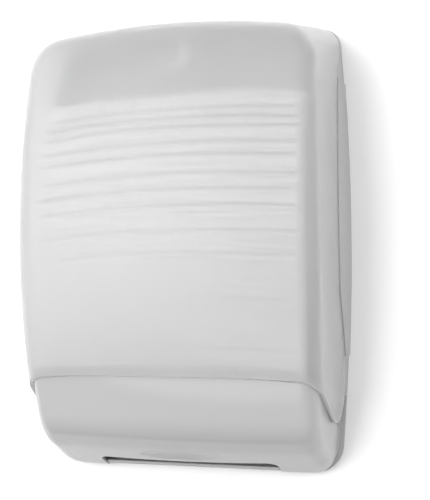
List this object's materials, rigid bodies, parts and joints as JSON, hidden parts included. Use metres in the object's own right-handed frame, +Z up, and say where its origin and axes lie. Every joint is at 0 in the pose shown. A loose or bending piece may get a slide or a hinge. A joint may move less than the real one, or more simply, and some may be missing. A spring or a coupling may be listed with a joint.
{
  "type": "multifold towel dispenser",
  "caption": "Wall dispenser for folded paper towels: white back plate, bulged translucent drop-front cover with a key lock, and a fixed chin with the dispensing slot underneath.",
  "frame": {"origin": "the middle of the four wall screw holes, on the back plate's rear face, which is also the middle of the case in width and height", "axes": "+X to the right as seen from the front, +Z up, the front faces -Y and the wall is the plane Y = 0"},
  "size_m": [0.292, 0.1216, 0.4154],
  "materials": {
    "case_plastic": "gloss",
    "cover_plastic": "translucent gloss",
    "inner_plastic": "satin",
    "bush_plastic": "satin",
    "steel": "zinc plated",
    "lock_chrome": "polished",
    "bumper_rubber": "matt",
    "towel_paper": "soft matt"
  },
  "bodies": {
    "chassis": {"back_plate": "case_plastic", "chin_shell": "case_plastic", "guide_left": "inner_plastic", "guide_right": "inner_plastic", "towel_shelf": "inner_plastic", "towel_stack": "towel_paper", "striker": "steel", "hinge_bush_left": "bush_plastic", "hinge_bush_right": "bush_plastic", "bumper_left": "bumper_rubber", "bumper_right": "bumper_rubber", "guide_screws": "steel", "striker_screws": "steel", "shelf_screws": "steel", "chin_screws": "steel"},
    "cover": {"upper_cover": "cover_plastic", "hinge_pin_left": "steel", "hinge_pin_right": "steel", "pin_clip_left": "steel", "pin_clip_right": "steel", "lock_barrel": "lock_chrome", "lock_nut": "steel"},
    "lock": {"lock_plug": "lock_chrome", "latch_cam": "steel", "cam_screw": "steel"}
  },
  "joints": [
    {"name": "cover_hinge", "type": "hinge", "parent": "chassis", "child": "cover", "pos_m": [0, -0.028, -0.146], "axis": [1, 0, 0], "range_deg": [0, 75]},
    {"name": "lock_turn", "type": "hinge", "parent": "cover", "child": "lock", "pos_m": [0, -0.04, 0.1661], "axis": [0, 0, 1], "range_deg": [-90, 0]}
  ]
}
